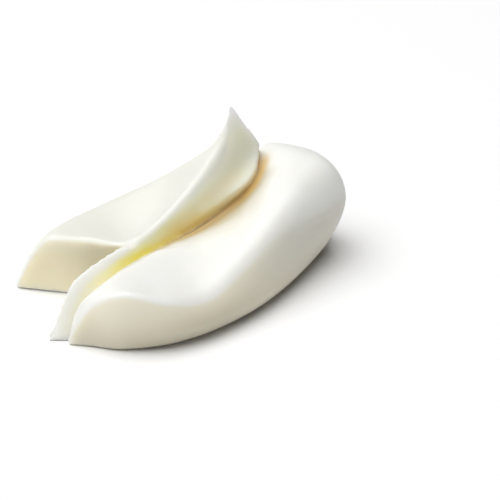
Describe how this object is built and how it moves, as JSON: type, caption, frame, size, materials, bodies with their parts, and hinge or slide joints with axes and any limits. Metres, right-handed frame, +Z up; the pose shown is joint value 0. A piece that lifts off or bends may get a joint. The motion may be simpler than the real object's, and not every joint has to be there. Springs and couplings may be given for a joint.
{
  "type": "folded mozzarella piece",
  "caption": "Soft fresh mozzarella piece: thick rounded lobes side by side, with a hollow-faced lip that rises between them and curls up to a point.",
  "frame": {"origin": "middle of the bounding box on the flat base, where the piece rests", "axes": "+Z up; +X from the cut left lobe to the round right end; +Y from the front, where the lip starts, to the back"},
  "size_m": [0.0858, 0.0684, 0.0438],
  "materials": {
    "mozzarella": "moist satin skin, soft translucent white, creamier on the cut faces and in the creases"
  },
  "bodies": {
    "root": {"mozzarella": "mozzarella"}
  },
  "joints": []
}
